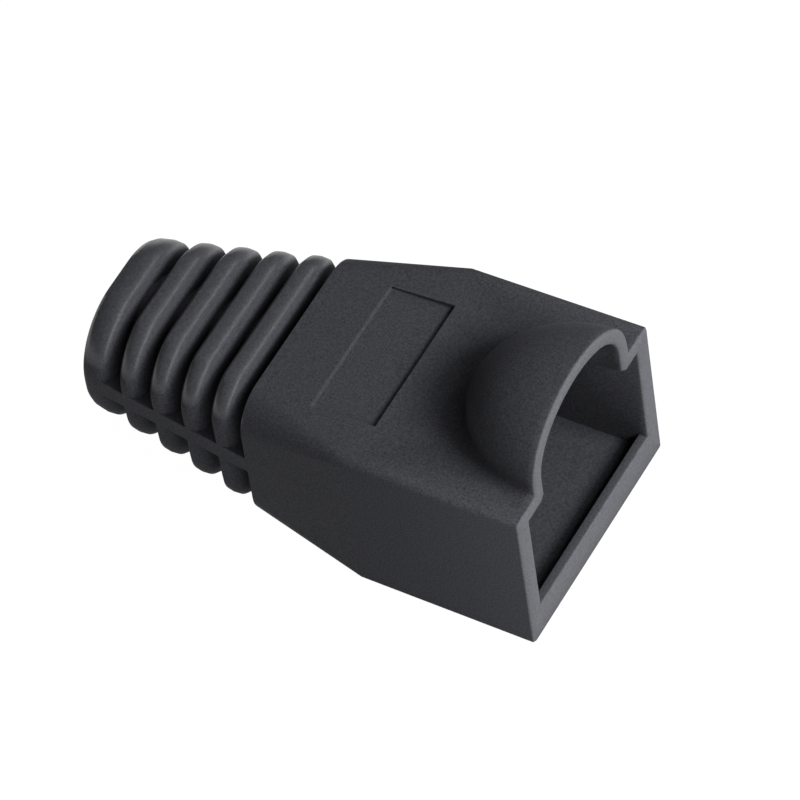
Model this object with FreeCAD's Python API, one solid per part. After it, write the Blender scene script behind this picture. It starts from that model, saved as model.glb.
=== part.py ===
"""Slip-on strain relief boot for an 8-way modular cable plug.

One soft moulding: a box that grips the rear of the plug, a hood over the plug's
latch, and a tapering ribbed tail that lets the cable bend gently.
Millimetres. +X points out of the mouth, +Z up, origin under the middle of the part.
Distances along the boot are measured back from the mouth.
"""
import FreeCAD, Part
import math
import os

from FreeCAD import Matrix, Vector

# Box round the plug
box_width = 14.0
box_height = 9.7
box_length = 10.0
side_wall = 1.15
roof_wall = 0.88
floor_wall = 1.05
box_edge_radius = 0.25
bend_edge_radius = 0.5
rim_chamfer = 0.12

# Plug pocket, and the lip that holds the plug in
pocket_depth = 10.4
lip_height = 0.95
lip_length = 0.53

# Neck, tapering from the box to the first groove
neck_length = 6.6
neck_edge_radius = 2.0
neck_outline_count = 7

# Ribbed tail
groove_count = 5
groove_pitch = 2.02
groove_width = 0.75
groove_floor_wall = 0.35
rib_shoulder_radius = 0.75
rib_rear_chamfer = 0.2
end_band_length = 1.77
end_width = 9.1
end_height = 7.78
end_lift = 0.75
end_corner_radius = 3.6
end_edge_radius = 0.4
shoulder_steps = 3
end_edge_steps = 2

# Spine of solid wall left along each side of the tail
spine_height = 1.05
spine_middle = 5.0

# Cable bore
bore_diameter = 5.6
bore_lead_in = 0.3
funnel_diameter = 7.0
funnel_length = 3.5

# Hood over the latch
hood_width = 10.1
hood_reach = 6.0
hood_leg = 0.7
hood_rise = 3.9
hood_wall = 0.85
hood_foot_chamfer = 0.3
hood_throat_chamfer = 0.35

# Label recess, its floor level in the sloping top
label_length = 3.75
label_width = 8.5
label_setback = 9.55
label_depth = 0.05

# Worked out from the sizes above
first_groove = box_length + neck_length
last_groove = first_groove + (groove_count - 1) * groove_pitch
overall_length = last_groove + groove_width + end_band_length
mouth_x = overall_length / 2
pocket_ceiling = box_height - roof_wall
axis_height = end_lift + end_height / 2
bore_radius = bore_diameter / 2
backwards = Vector(-1, 0, 0)


def at(distance):
    """X of a place this far back from the mouth."""
    return mouth_x - distance


def blend(start, end, share):
    return start + (end - start) * share


def outer_size(distance):
    """Width, underside and top of the outside, straight-sided from bend to end."""
    share = max(0.0, (distance - box_length) / (overall_length - box_length))
    width = blend(box_width, end_width, share)
    bottom = blend(0.0, end_lift, share)
    top = blend(box_height, end_lift + end_height, share)
    return width, bottom, top


def edge_radius(distance):
    """Radius of the long outer edges, growing softer towards the tail."""
    if distance <= box_length:
        return blend(box_edge_radius, bend_edge_radius, distance / box_length)
    if distance <= first_groove:
        share = (distance - box_length) / neck_length
        return blend(bend_edge_radius, neck_edge_radius, share)
    share = (distance - first_groove) / (overall_length - first_groove)
    return blend(neck_edge_radius, end_corner_radius, share)


def rounded_outline(x, width, bottom, top, radius):
    """Rounded rectangle across the boot, limited to what the height can hold."""
    radius = min(radius, 0.49 * (top - bottom))
    corner_y = width / 2 - radius
    low, high = bottom + radius, top - radius
    centres = [(corner_y, high), (-corner_y, high), (-corner_y, low), (corner_y, low)]
    corners = []
    for quarter, (y, z) in enumerate(centres):
        points = []
        for angle in (90 * quarter, 90 * quarter + 45, 90 * quarter + 90):
            turn = math.radians(angle)
            points.append(Vector(x, y + radius * math.cos(turn), z + radius * math.sin(turn)))
        corners.append(points)
    edges = []
    for corner, following in zip(corners, corners[1:] + corners[:1]):
        edges.append(Part.Arc(*corner).toShape())
        edges.append(Part.LineSegment(corner[2], following[0]).toShape())
    return Part.Wire(edges)


def outline(distance, inset=0.0):
    """Outside of the boot at a distance, drawn in by an even margin."""
    width, bottom, top = outer_size(distance)
    radius = edge_radius(distance) - inset
    return rounded_outline(at(distance), width - 2 * inset, bottom + inset, top - inset, radius)


def loft(outlines):
    """Solid through the outlines in straight steps, its flat faces made true planes."""
    faces = []
    for face in Part.makeLoft(outlines, True, True).Faces:
        plane = face.OuterWire.findPlane()
        if plane:
            u_low, u_high, v_low, v_high = face.ParameterRange
            outwards = face.normalAt((u_low + u_high) / 2, (v_low + v_high) / 2)
            face = Part.Face(plane, face.OuterWire)
            if face.normalAt(0, 0).dot(outwards) < 0:
                face.reverse()
        faces.append(face)
    return Part.Solid(Part.Shell(faces))


def outer_length(start, end, outline_count=2):
    """Solid length of the outside, lofted through evenly spaced outlines."""
    last = outline_count - 1
    outlines = [outline(blend(start, end, index / last)) for index in range(outline_count)]
    return loft(outlines)


def rounding(crest, radius, direction, steps):
    """Outlines that round the outside over from a crest, or break its edge in one step."""
    outlines = []
    for step in range(1, steps + 1):
        angle = math.radians(90 * step / steps)
        distance = crest + direction * radius * math.sin(angle)
        outlines.append(outline(distance, radius * (1 - math.cos(angle))))
    return outlines


def make_rib(start, end, rear_edge, rear_steps):
    """Band of the tail, well rounded on its mouth side and less so at its rear edge."""
    crest_start = start + rib_shoulder_radius
    crest_end = end - rear_edge
    shoulder = rounding(crest_start, rib_shoulder_radius, -1, shoulder_steps)
    rear = rounding(crest_end, rear_edge, 1, rear_steps)
    return loft(shoulder[::-1] + [outline(crest_start), outline(crest_end)] + rear)


def make_ribs():
    ribs = []
    for index in range(groove_count - 1):
        groove = first_groove + index * groove_pitch
        ribs.append(make_rib(groove + groove_width, groove + groove_pitch, rib_rear_chamfer, 1))
    end_band = last_groove + groove_width
    ribs.append(make_rib(end_band, overall_length, end_edge_radius, end_edge_steps))
    return ribs


def make_tube():
    """Thin tube under the grooves, from the neck into the end band."""
    length = overall_length - end_edge_radius - first_groove
    start = Vector(at(first_groove), 0, axis_height)
    return Part.makeCylinder(bore_radius + groove_floor_wall, length, start, backwards)


def make_spines():
    """Flush bridges across the grooves, one along each side."""
    end = last_groove + groove_width + end_band_length / 2
    corner = Vector(at(end), -box_width / 2, spine_middle - spine_height / 2)
    slab = Part.makeBox(end - first_groove, box_width, spine_height, corner)
    return outer_length(first_groove, end).common(slab)


def dome(reach, half_width, leg, rise, base):
    """Half-ellipsoid on an upright skirt, turned a little past the mouth plane."""
    centre = Vector(mouth_x, 0, base)
    foot = centre + Vector(-reach, 0, 0)
    eaves = foot + Vector(0, 0, leg)
    middle = centre + Vector(0, 0, leg)
    crown = middle + Vector(0, 0, rise)
    curve = Part.Ellipse(eaves, crown, middle)
    first, last = sorted((curve.parameter(eaves), curve.parameter(crown)))
    edges = [
        Part.LineSegment(foot, eaves).toShape(),
        curve.toShape(first, last),
        Part.LineSegment(crown, centre).toShape(),
        Part.LineSegment(centre, foot).toShape(),
    ]
    profile = Part.Face(Part.Wire(Part.__sortEdges__(edges)))
    past_quarter = 105
    near_side = profile.revolve(centre, Vector(0, 0, 1), past_quarter)
    far_side = profile.revolve(centre, Vector(0, 0, 1), -past_quarter)
    squeeze = Matrix()
    squeeze.scale(Vector(1, half_width / reach, 1))
    return near_side.fuse(far_side).removeSplitter().transformGeometry(squeeze)


def make_hood():
    """Hood over the latch, rooted in the middle of the roof and cut flat at the mouth."""
    root = box_height - roof_wall / 2
    leg = box_height + hood_leg - root
    hood = dome(hood_reach, hood_width / 2, leg, hood_rise, root)
    beyond = Vector(mouth_x, -box_width, 0)
    return hood.cut(Part.makeBox(hood_reach, 2 * box_width, 2 * box_height, beyond))


def make_hood_hollow():
    """Room for the latch, open down into the pocket."""
    root = pocket_ceiling - roof_wall / 2
    leg = box_height + hood_leg - root
    reach = hood_reach - hood_wall
    half_width = hood_width / 2 - hood_wall
    return dome(reach, half_width, leg, hood_rise - hood_wall, root)


def make_pocket():
    """Pocket for the rear of the plug, with the lip left standing at the mouth."""
    width = box_width - 2 * side_wall
    corner = Vector(at(pocket_depth), -width / 2, floor_wall)
    pocket = Part.makeBox(pocket_depth, width, pocket_ceiling - floor_wall, corner)
    lip_corner = Vector(at(lip_length), -width / 2, floor_wall)
    return pocket.cut(Part.makeBox(lip_length, width, lip_height, lip_corner))


def make_funnel():
    """Cone that gathers the cable from the pocket into the bore."""
    start = Vector(at(pocket_depth), 0, axis_height)
    return Part.makeCone(funnel_diameter / 2, bore_radius, funnel_length, start, backwards)


def make_bore():
    """Cable bore with a small lead-in at the tail."""
    start = Vector(at(pocket_depth), 0, axis_height)
    bore = Part.makeCylinder(bore_radius, overall_length - pocket_depth, start, backwards)
    rim = Vector(at(overall_length - bore_lead_in), 0, axis_height)
    wide_radius = bore_radius + bore_lead_in
    return bore.fuse(Part.makeCone(bore_radius, wide_radius, bore_lead_in, rim, backwards))


def make_label_recess():
    """Recess with a level floor, shallow at the tail and deeper as the top rises to the box."""
    tail_edge = label_setback + label_length
    floor = min(outer_size(label_setback)[2], outer_size(tail_edge)[2]) - label_depth
    corner = Vector(at(tail_edge), -label_width / 2, floor)
    return Part.makeBox(label_length, label_width, box_height, corner)


def hood_arch(distance, inset):
    """End outline of the hood, a half-ellipse on two legs, drawn in by a margin."""
    half_width = hood_width / 2 - inset
    middle = Vector(at(distance), 0, box_height + hood_leg)
    across = Vector(0, half_width, 0)
    drop = Vector(0, 0, pocket_ceiling - middle.z)
    left, right = middle - across, middle + across
    crown = middle + Vector(0, 0, hood_rise - inset)
    curve = Part.Ellipse(right, crown, middle)
    edges = [
        curve.toShape(curve.parameter(right), curve.parameter(left)),
        Part.LineSegment(left, left + drop).toShape(),
        Part.LineSegment(left + drop, right + drop).toShape(),
        Part.LineSegment(right + drop, right).toShape(),
    ]
    return Part.Wire(edges)


def make_rim_cutter():
    """Plate with a tapering hole that breaks the outer edges of the mouth."""
    corner = Vector(at(rim_chamfer), -box_width, -box_height)
    plate = Part.makeBox(2 * rim_chamfer, 2 * box_width, 3 * box_height, corner)
    beyond = 2 * rim_chamfer
    box_end = [outline(-rim_chamfer, beyond), outline(rim_chamfer)]
    hood_end = [hood_arch(-rim_chamfer, beyond), hood_arch(rim_chamfer, 0)]
    return plate.cut(loft(box_end).fuse(loft(hood_end)))


def opening_edges(shape):
    """Edges of the mouth with only air between them and the middle of the pocket."""
    near = 1e-3
    centre = Vector(mouth_x, 0, (floor_wall + pocket_ceiling) / 2)
    found = []
    for edge in shape.Edges:
        box = edge.BoundBox
        flat = abs(box.XMin - mouth_x) < near and abs(box.XMax - mouth_x) < near
        if flat and edge.Length > near:
            middle = edge.valueAt(edge.getParameterByLength(edge.Length / 2))
            inwards = (centre - middle).normalize() * rim_chamfer
            probe = middle + inwards + Vector(-rim_chamfer, 0, 0)
            if not shape.isInside(probe, near, True):
                found.append(edge)
    return found


def curved_level_edges(shape, height):
    """Curved edges that lie level at this height."""
    near = 1e-3
    found = []
    for edge in shape.Edges:
        box = edge.BoundBox
        level = abs(box.ZMin - height) < near and abs(box.ZMax - height) < near
        if level and min(box.XLength, box.YLength) > near:
            found.append(edge)
    return found


def soften(body):
    """Blend the hood's foot, ease its throat and break the edges of the mouth."""
    body = body.makeChamfer(hood_foot_chamfer, curved_level_edges(body, box_height))
    body = body.makeChamfer(hood_throat_chamfer, curved_level_edges(body, pocket_ceiling))
    body = body.makeChamfer(rim_chamfer, opening_edges(body))
    return body.cut(make_rim_cutter()).Solids[0]


def make_boot():
    box = outer_length(0, box_length)
    neck = outer_length(box_length, first_groove, neck_outline_count)
    body = box.fuse(neck).cut(make_label_recess())
    body = body.fuse([make_hood(), make_tube(), make_spines()] + make_ribs())
    for hollow in (make_pocket(), make_hood_hollow(), make_funnel(), make_bore()):
        body = body.cut(hollow)
    return soften(body.removeSplitter().Solids[0])


boot = make_boot()
os.makedirs("parts", exist_ok=True)
boot.exportStep("parts/boot.step")
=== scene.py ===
"""Looks of a slip-on strain relief boot for a modular plug, in metres, in the frame of the CAD."""

import math

import bmesh
import bpy
from mathutils import Matrix, Quaternion, Vector


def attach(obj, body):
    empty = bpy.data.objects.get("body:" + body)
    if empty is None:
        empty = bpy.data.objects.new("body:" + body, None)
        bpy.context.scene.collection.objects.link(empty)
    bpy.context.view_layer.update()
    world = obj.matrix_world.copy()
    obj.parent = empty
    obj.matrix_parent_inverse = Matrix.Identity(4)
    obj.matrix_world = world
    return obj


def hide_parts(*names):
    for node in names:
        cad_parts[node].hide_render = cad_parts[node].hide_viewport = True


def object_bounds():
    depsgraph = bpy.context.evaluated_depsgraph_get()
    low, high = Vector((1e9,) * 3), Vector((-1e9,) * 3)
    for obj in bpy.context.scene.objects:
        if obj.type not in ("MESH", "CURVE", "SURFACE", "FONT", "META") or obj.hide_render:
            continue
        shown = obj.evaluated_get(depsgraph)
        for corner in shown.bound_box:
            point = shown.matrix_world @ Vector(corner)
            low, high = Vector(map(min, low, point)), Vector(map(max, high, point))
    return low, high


MM = 0.001

# Viewpoint of the photograph
AIM = Vector((2.09, 0.95, 4.85)) * MM
VIEW_DISTANCE = 382.1 * MM
VIEW_AZIMUTH = math.radians(-54.289)
VIEW_ELEVATION = math.radians(50.668)
VIEW_ROLL = math.radians(9.290)
SENSOR_WIDTH = 36.0
FOCAL_LENGTH = 337.5
CLIP_START = 0.01
CLIP_END = 20.0

# Mesh of the moulding; the ribs lie below RIBS_START in X
WELD_GAP = 0.002 * MM
CREASE_ANGLE = math.radians(50)
RIB_CREASE_ANGLE = math.radians(40)
RIBS_START = -2.9 * MM

# Label recess: the box that its upper edges lie in, and their bevel
RECESS_SPAN_X = (0.2 * MM, 4.1 * MM)
RECESS_HALF_WIDTH = 4.3 * MM
RECESS_ABOVE = 9.45 * MM
RECESS_EDGE = 0.04 * MM
RECESS_EDGE_SEGMENTS = 2
RECESS_EDGE_PROFILE = 0.5

# Tail end of the label recess: where it is, and how far its foot moves
RECESS_TAIL_X = 0.3 * MM
RECESS_FLOOR_Z = 9.426 * MM
RECESS_TAIL_RUN = 0.08 * MM
RECESS_TAIL_DROP = 0.13 * MM

# Grain of the compound, in its colour and as fine relief
GRAIN_SCALE = 9000.0
GRAIN_DETAIL = 3.0
GRAIN_ROUGHNESS = 0.6
GRAIN_RELIEF = 0.010 * MM
GRAIN_RELIEF_STRENGTH = 0.8
SPECKLE_DARK = (0.010, 0.010, 0.011, 1.0)
SPECKLE_LIGHT = (0.100, 0.102, 0.111, 1.0)

# Painted light: a paler grained colour on the flat face of the mouth, standing in for the light that face
# catches
PAINTED_LIGHT_RIM_DARK = (0.066, 0.067, 0.070, 1.0)
PAINTED_LIGHT_RIM_LIGHT = (0.192, 0.194, 0.204, 1.0)
PAINTED_LIGHT_DEPTH = 0.13 * MM

# Matt surface, a little uneven
BODY_ROUGHNESS = 0.62
BODY_SPECULAR = 0.04
CLOUD_SCALE = 260.0
CLOUD_DETAIL = 3.0
CLOUD_MIDDLE = 0.5
CLOUD_SPREAD = 0.1

# Soft gloss on the ribs, on faces that turn upwards
SHEEN_ROUGHNESS = 0.36
SHEEN_IOR = 1.6
SHEEN_LIFT = 0.3
SHEEN_RISE = 0.25

# Length in X over which the painted light on the mouth's face and the ribs' gloss set in
FADE_LENGTH = 0.07 * MM

# White ground: a paper that lights the boot, and a glow for rays that show it
GROUND_HALF_WIDTH = 3.0
GROUND_COLOUR = (0.5, 0.5, 0.5, 1.0)
GROUND_GLOW = 1.1
GROUND_GLOW_SHARE = 0.9

# Cool studio lamps and a faint white surround
LAMP_COLOUR = (0.98, 0.98, 1.03)
LAMP_DISTANCE = 0.7
WORLD_COLOUR = (1, 1, 1, 1)
WORLD_STRENGTH = 0.03


class Value:
    """A socket's value inside a material, so that shader maths reads as plain sums."""

    def __init__(self, tree, socket):
        self.tree = tree
        self.socket = socket

    def maths(self, operation, *others, clamp=False):
        node = self.tree.nodes.new("ShaderNodeMath")
        node.operation = operation
        node.use_clamp = clamp
        for place, item in enumerate((self, *others)):
            if isinstance(item, Value):
                self.tree.links.new(item.socket, node.inputs[place])
            else:
                node.inputs[place].default_value = item
        return Value(self.tree, node.outputs[0])

    def ramp(self, start, length):
        """Rises from 0 at start to 1 a length further on."""
        return (self - start).maths("MULTIPLY", 1 / length, clamp=True)

    def __add__(self, other):
        return self.maths("ADD", other)

    __radd__ = __add__

    def __mul__(self, other):
        return self.maths("MULTIPLY", other)

    __rmul__ = __mul__

    def __sub__(self, other):
        return self.maths("SUBTRACT", other)

    def __rsub__(self, other):
        return (self * -1.0) + other


class Finish:
    """A material under construction."""

    def __init__(self, name):
        self.material = bpy.data.materials.new(name)
        self.material.use_nodes = True
        self.tree = self.material.node_tree
        self.tree.nodes.clear()
        self.output = self.tree.nodes.new("ShaderNodeOutputMaterial")

    def node(self, kind, settings=None, inputs=None):
        """Adds a node, sets it, then fills its sockets with values or links."""
        node = self.tree.nodes.new(kind)
        for name, value in (settings or {}).items():
            setattr(node, name, value)
        for name, value in (inputs or {}).items():
            if isinstance(value, Value):
                self.tree.links.new(value.socket, node.inputs[name])
            elif isinstance(value, bpy.types.NodeSocket):
                self.tree.links.new(value, node.inputs[name])
            else:
                node.inputs[name].default_value = value
        return node

    def mixed(self, factor, first, second):
        """Colour between two others."""
        return self.node("ShaderNodeMix", {"data_type": "RGBA"}, {
            "Factor": factor, "A": first, "B": second}).outputs["Result"]

    def part(self, vector, axis):
        """One part of a vector, as a value."""
        split = self.node("ShaderNodeSeparateXYZ", inputs={"Vector": vector})
        return self.value(split.outputs[axis])

    def value(self, socket):
        return Value(self.tree, socket)

    def surface(self, socket):
        self.tree.links.new(socket, self.output.inputs["Surface"])


def direction(azimuth, elevation):
    """Unit vector from the boot towards a lamp or the camera."""
    return Vector((
        math.cos(elevation) * math.cos(azimuth),
        math.cos(elevation) * math.sin(azimuth),
        math.sin(elevation),
    ))


def add_camera():
    """Camera at the photograph's angle."""
    away = direction(VIEW_AZIMUTH, VIEW_ELEVATION)
    data = bpy.data.cameras.new("camera")
    data.lens = FOCAL_LENGTH
    data.sensor_width = SENSOR_WIDTH
    data.clip_start = CLIP_START
    data.clip_end = CLIP_END
    camera = bpy.data.objects.new("camera", data)
    turn = away.to_track_quat("Z", "Y") @ Quaternion((0, 0, 1), -VIEW_ROLL)
    camera.matrix_world = Matrix.LocRotScale(AIM + away * VIEW_DISTANCE, turn, None)
    bpy.context.scene.collection.objects.link(camera)
    bpy.context.scene.camera = camera


def moulded_compound(mouth_x):
    """Soft dark compound: matt, with a fine grain, painted light on the mouth's face, and glossier on the
    ribs.
    """
    finish = Finish("soft_moulding")
    place = finish.node("ShaderNodeTexCoord").outputs["Object"]
    grain = finish.node("ShaderNodeTexNoise", inputs={
        "Vector": place,
        "Scale": GRAIN_SCALE,
        "Detail": GRAIN_DETAIL,
        "Roughness": GRAIN_ROUGHNESS,
    }).outputs["Fac"]
    speckle = finish.mixed(grain, SPECKLE_DARK, SPECKLE_LIGHT)
    # painted light: the mouth's face gets a paler grained colour in place of the light it catches
    painted_light = finish.mixed(grain, PAINTED_LIGHT_RIM_DARK, PAINTED_LIGHT_RIM_LIGHT)
    relief = finish.node("ShaderNodeBump", inputs={
        "Height": grain, "Distance": GRAIN_RELIEF, "Strength": GRAIN_RELIEF_STRENGTH})
    cloud = finish.value(finish.node("ShaderNodeTexNoise", inputs={
        "Vector": place, "Scale": CLOUD_SCALE, "Detail": CLOUD_DETAIL}).outputs["Fac"])
    along = finish.part(place, "X")
    on_ribs = (RIBS_START - along).ramp(0.0, FADE_LENGTH)
    lift = finish.part(finish.node("ShaderNodeNewGeometry").outputs["Normal"], "Z")
    upward = lift.ramp(SHEEN_LIFT, SHEEN_RISE)
    # mask of the painted light on the mouth's flat face, fading in over FADE_LENGTH
    painted_light_mask = along.ramp(mouth_x - PAINTED_LIGHT_DEPTH, FADE_LENGTH)
    shader = finish.node("ShaderNodeBsdfPrincipled", inputs={
        # base colour: grained compound, with painted light on the mouth's face
        "Base Color": finish.mixed(painted_light_mask, speckle, painted_light),
        "Roughness": (cloud - CLOUD_MIDDLE) * CLOUD_SPREAD + BODY_ROUGHNESS,
        "Normal": relief.outputs["Normal"],
        "Specular IOR Level": BODY_SPECULAR,
        "Coat Weight": on_ribs * upward,
        "Coat Roughness": SHEEN_ROUGHNESS,
        "Coat IOR": SHEEN_IOR,
    })
    finish.surface(shader.outputs["BSDF"])
    return finish.material


def on_recess_edge(edge):
    """Whether an edge runs round the top of the label recess."""
    start, end = RECESS_SPAN_X
    inside = all(
        start < vertex.co.x < end
        and abs(vertex.co.y) < RECESS_HALF_WIDTH
        and vertex.co.z > RECESS_ABOVE
        for vertex in edge.verts)
    return inside and edge.calc_face_angle(0.0) > CREASE_ANGLE


def deepen_recess_tail(mesh):
    """Lets the recess floor follow the sloping top, and returns the tail wall's edges."""
    wall = [
        vertex for vertex in mesh.verts
        if abs(vertex.co.x - RECESS_TAIL_X) < WELD_GAP
        and abs(vertex.co.y) < RECESS_HALF_WIDTH
        and vertex.co.z > RECESS_FLOOR_Z - WELD_GAP]
    for vertex in wall:
        if vertex.co.z < RECESS_FLOOR_Z + WELD_GAP:
            vertex.co.x += RECESS_TAIL_RUN
            vertex.co.z -= RECESS_TAIL_DROP
    return [edge for edge in mesh.edges if all(vertex in wall for vertex in edge.verts)]


def break_recess_edge(mesh):
    """Small bevel round the deeper sides of the label recess, which catches the light."""
    edges = [edge for edge in mesh.edges if on_recess_edge(edge)]
    bmesh.ops.bevel(
        mesh, geom=edges, offset=RECESS_EDGE, affect="EDGES",
        segments=RECESS_EDGE_SEGMENTS, profile=RECESS_EDGE_PROFILE, material=-1)


def make_moulding():
    """Welded copy of the boot, smooth except at its real corners."""
    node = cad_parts["boot"]
    mesh = bmesh.new()
    mesh.from_mesh(node.data)
    bmesh.ops.remove_doubles(mesh, verts=mesh.verts, dist=WELD_GAP)
    tail_edges = deepen_recess_tail(mesh)
    for face in mesh.faces:
        face.smooth = True
        face.material_index = 0
    for edge in mesh.edges:
        on_ribs = max(vertex.co.x for vertex in edge.verts) < RIBS_START
        crease = RIB_CREASE_ANGLE if on_ribs else CREASE_ANGLE
        edge.smooth = edge.calc_face_angle(0.0) < crease
    for edge in tail_edges:
        edge.smooth = False
    break_recess_edge(mesh)
    data = bpy.data.meshes.new("moulding")
    mesh.to_mesh(data)
    mesh.free()
    data.materials.append(moulded_compound(mouth_x=max(corner.x for corner in cad_box)))
    piece = bpy.data.objects.new("moulding", data)
    bpy.context.scene.collection.objects.link(piece)
    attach(piece, "root")
    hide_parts("boot")


def add_floor():
    """Plain white ground."""
    finish = Finish("ground")
    paper = finish.node("ShaderNodeBsdfDiffuse", inputs={"Color": GROUND_COLOUR})
    glow = finish.node("ShaderNodeEmission", inputs={"Strength": GROUND_GLOW})
    path = finish.node("ShaderNodeLightPath")
    seen, in_gloss, through = (
        finish.value(path.outputs[ray])
        for ray in ("Is Camera Ray", "Is Glossy Ray", "Is Transmission Ray"))
    mix = finish.node("ShaderNodeMixShader", inputs={
        0: (seen + in_gloss + through) * GROUND_GLOW_SHARE,
        1: paper.outputs[0],
        2: glow.outputs[0],
    })
    finish.surface(mix.outputs[0])
    data = bpy.data.meshes.new("ground")
    mesh = bmesh.new()
    bmesh.ops.create_grid(mesh, x_segments=1, y_segments=1, size=GROUND_HALF_WIDTH)
    mesh.to_mesh(data)
    mesh.free()
    data.materials.append(finish.material)
    floor = bpy.data.objects.new("ground", data)
    bpy.context.scene.collection.objects.link(floor)


def new_lamp(name, length, width, power):
    """Oblong lamp, to be placed."""
    data = bpy.data.lights.new(name, "AREA")
    data.shape = "RECTANGLE"
    data.size = length
    data.size_y = width
    data.energy = power
    data.color = LAMP_COLOUR
    lamp = bpy.data.objects.new(name, data)
    bpy.context.scene.collection.objects.link(lamp)
    return lamp


def add_lamp(name, azimuth, elevation, length, width, power):
    """Soft lamp that faces the boot, with its length level. Gloss doesn't show it."""
    lamp = new_lamp(name, length, width, power)
    away = direction(math.radians(azimuth), math.radians(elevation))
    turn = away.to_track_quat("Z", "Y")
    lamp.matrix_world = Matrix.LocRotScale(AIM + away * LAMP_DISTANCE, turn, None)
    lamp.visible_glossy = False


def add_strip(name, start, end, width, power):
    """Narrow lamp between two points, as square to the boot as its line allows."""
    lamp = new_lamp(name, (end - start).length, width, power)
    along = (end - start).normalized()
    middle = (start + end) / 2
    away = (middle - along * middle.dot(along)).normalized()
    turn = Matrix((along, away.cross(along), away)).transposed()
    lamp.matrix_world = Matrix.Translation(AIM + middle) @ turn.to_4x4()


def add_lights():
    """Lamps round the boot: the strip's reflection is the thin line of light on each rib."""
    add_lamp("lamp_mouth", azimuth=0, elevation=37, length=0.3, width=0.2, power=5.1)
    add_strip(
        "lamp_strip", start=Vector((0.35, 0.8, 0.65)), end=Vector((0.25, -0.7, 0.12)),
        width=0.08, power=1.6)
    add_lamp("lamp_near", azimuth=-110, elevation=30, length=0.4, width=0.4, power=0.15)
    add_lamp("lamp_far", azimuth=90, elevation=25, length=0.3, width=0.3, power=0.7)
    world = bpy.data.worlds.new("studio")
    world.use_nodes = True
    surround = world.node_tree.nodes["Background"]
    surround.inputs["Color"].default_value = WORLD_COLOUR
    surround.inputs["Strength"].default_value = WORLD_STRENGTH
    bpy.context.scene.world = world


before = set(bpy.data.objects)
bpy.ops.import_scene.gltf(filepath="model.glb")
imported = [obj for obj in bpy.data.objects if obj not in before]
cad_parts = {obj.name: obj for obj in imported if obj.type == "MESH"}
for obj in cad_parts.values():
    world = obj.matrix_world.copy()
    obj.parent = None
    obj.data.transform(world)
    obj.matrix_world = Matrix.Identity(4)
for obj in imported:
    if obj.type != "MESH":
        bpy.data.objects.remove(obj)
cad_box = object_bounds()
make_moulding()
add_floor()
add_lights()
add_camera()
bpy.context.scene.view_settings.view_transform = "Standard"
